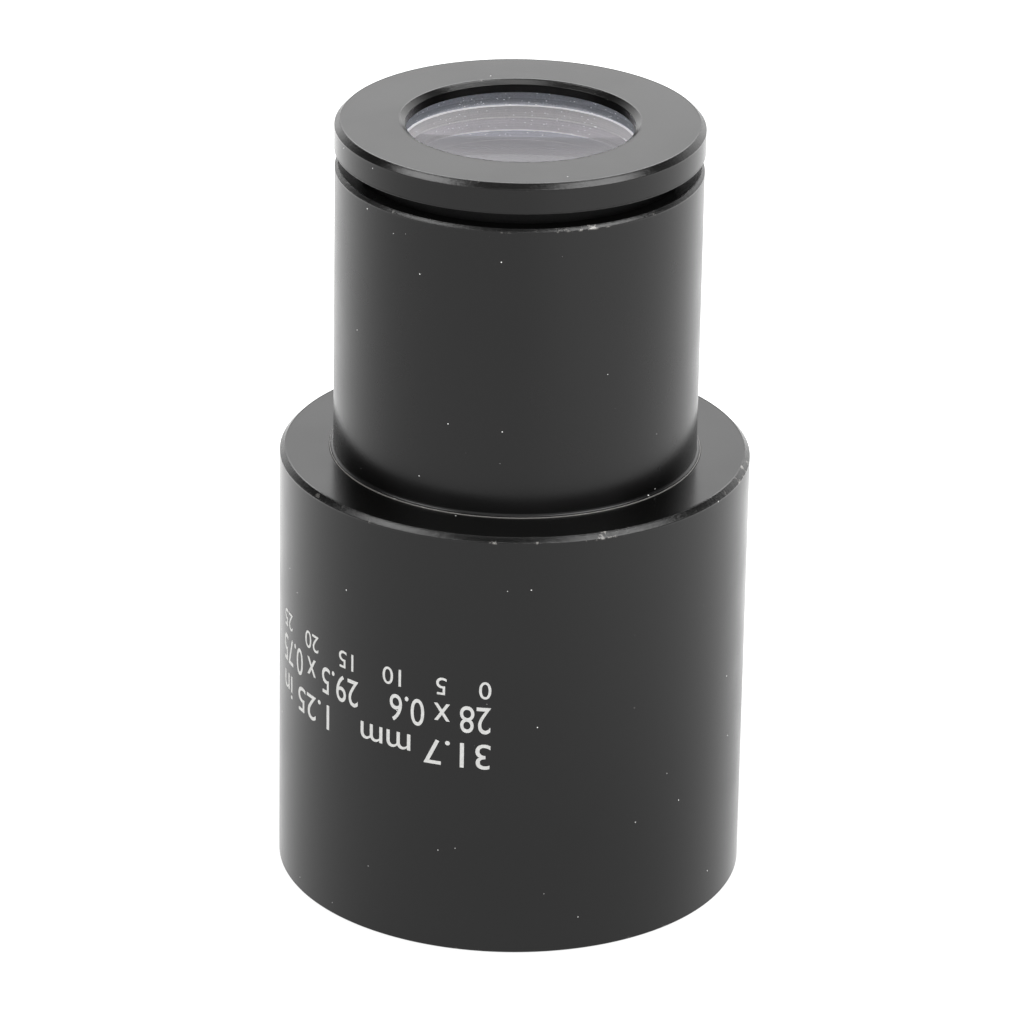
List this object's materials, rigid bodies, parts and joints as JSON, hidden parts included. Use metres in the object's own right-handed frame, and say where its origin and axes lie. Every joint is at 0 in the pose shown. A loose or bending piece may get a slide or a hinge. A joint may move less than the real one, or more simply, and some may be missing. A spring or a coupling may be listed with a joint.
{
  "type": "barlow lens",
  "caption": "Short Barlow lens for eyepieces: a wide holder with a clamped socket, a slim nose barrel and a screw-in cell that holds a cemented doublet.",
  "frame": {"origin": "where the optical axis meets the plane of the shoulder that seats on the focuser", "axes": "+Z along the optical axis towards the nose, +Y towards the thumbscrew, -Y is the side with the markings"},
  "size_m": [0.041, 0.0502, 0.0693],
  "materials": {
    "holder_anodise": "black anodised, satin",
    "nose_anodise": "black anodised, satin",
    "cell_anodise": "black anodised, satin",
    "retainer_anodise": "black anodised, matt",
    "black_paint": "matt black paint",
    "brass": "turned brass",
    "screw_steel": "bright steel",
    "knob_nickel": "nickel-plated, knurled",
    "nylon": "natural nylon",
    "crown_glass": "polished and coated, with a ground edge",
    "flint_glass": "polished and coated, with a ground edge"
  },
  "bodies": {
    "holder": {"eyepiece_holder": "holder_anodise", "compression_ring": "brass"},
    "nose_carrier": {"glare_stop": "black_paint"},
    "nose": {"nose_barrel": "nose_anodise"},
    "optics": {"front_lens": "crown_glass", "rear_lens": "flint_glass"},
    "cell": {"lens_cell": "cell_anodise", "cell_retaining_ring": "retainer_anodise"},
    "screw_tip": {"thumbscrew_tip": "nylon"},
    "thumbscrew": {"thumbscrew_shank": "screw_steel", "thumbscrew_knob": "knob_nickel"}
  },
  "joints": [
    {"name": "nose_lift", "type": "slide", "parent": "holder", "child": "nose_carrier", "axis": [0, 0, 1], "range_m": [0, 0.00563]},
    {"name": "nose_unscrew", "type": "hinge", "parent": "nose_carrier", "child": "nose", "pos_m": [0, 0, 0], "axis": [0, 0, 1], "range_deg": [0, 2700]},
    {"name": "cell_lift", "type": "slide", "parent": "nose", "child": "optics", "axis": [0, 0, 1], "range_m": [0, 0.0036]},
    {"name": "cell_unscrew", "type": "hinge", "parent": "optics", "child": "cell", "pos_m": [0, 0, 0.025], "axis": [0, 0, 1], "range_deg": [0, 2160]},
    {"name": "thumbscrew_travel", "type": "slide", "parent": "holder", "child": "screw_tip", "axis": [0, 1, 0], "range_m": [-0.00023, 0.00175]},
    {"name": "thumbscrew_turn", "type": "hinge", "parent": "screw_tip", "child": "thumbscrew", "pos_m": [0, 0.025, -0.0287], "axis": [0, 1, 0], "range_deg": [-120.01, 900.01]}
  ],
  "couplings": [
    {"joint": "nose_lift", "follows": "nose_unscrew", "m_per_rad": 0.00011937},
    {"joint": "cell_lift", "follows": "cell_unscrew", "m_per_rad": 0.000095493},
    {"joint": "thumbscrew_turn", "follows": "thumbscrew_travel", "rad_per_m": 8976}
  ]
}
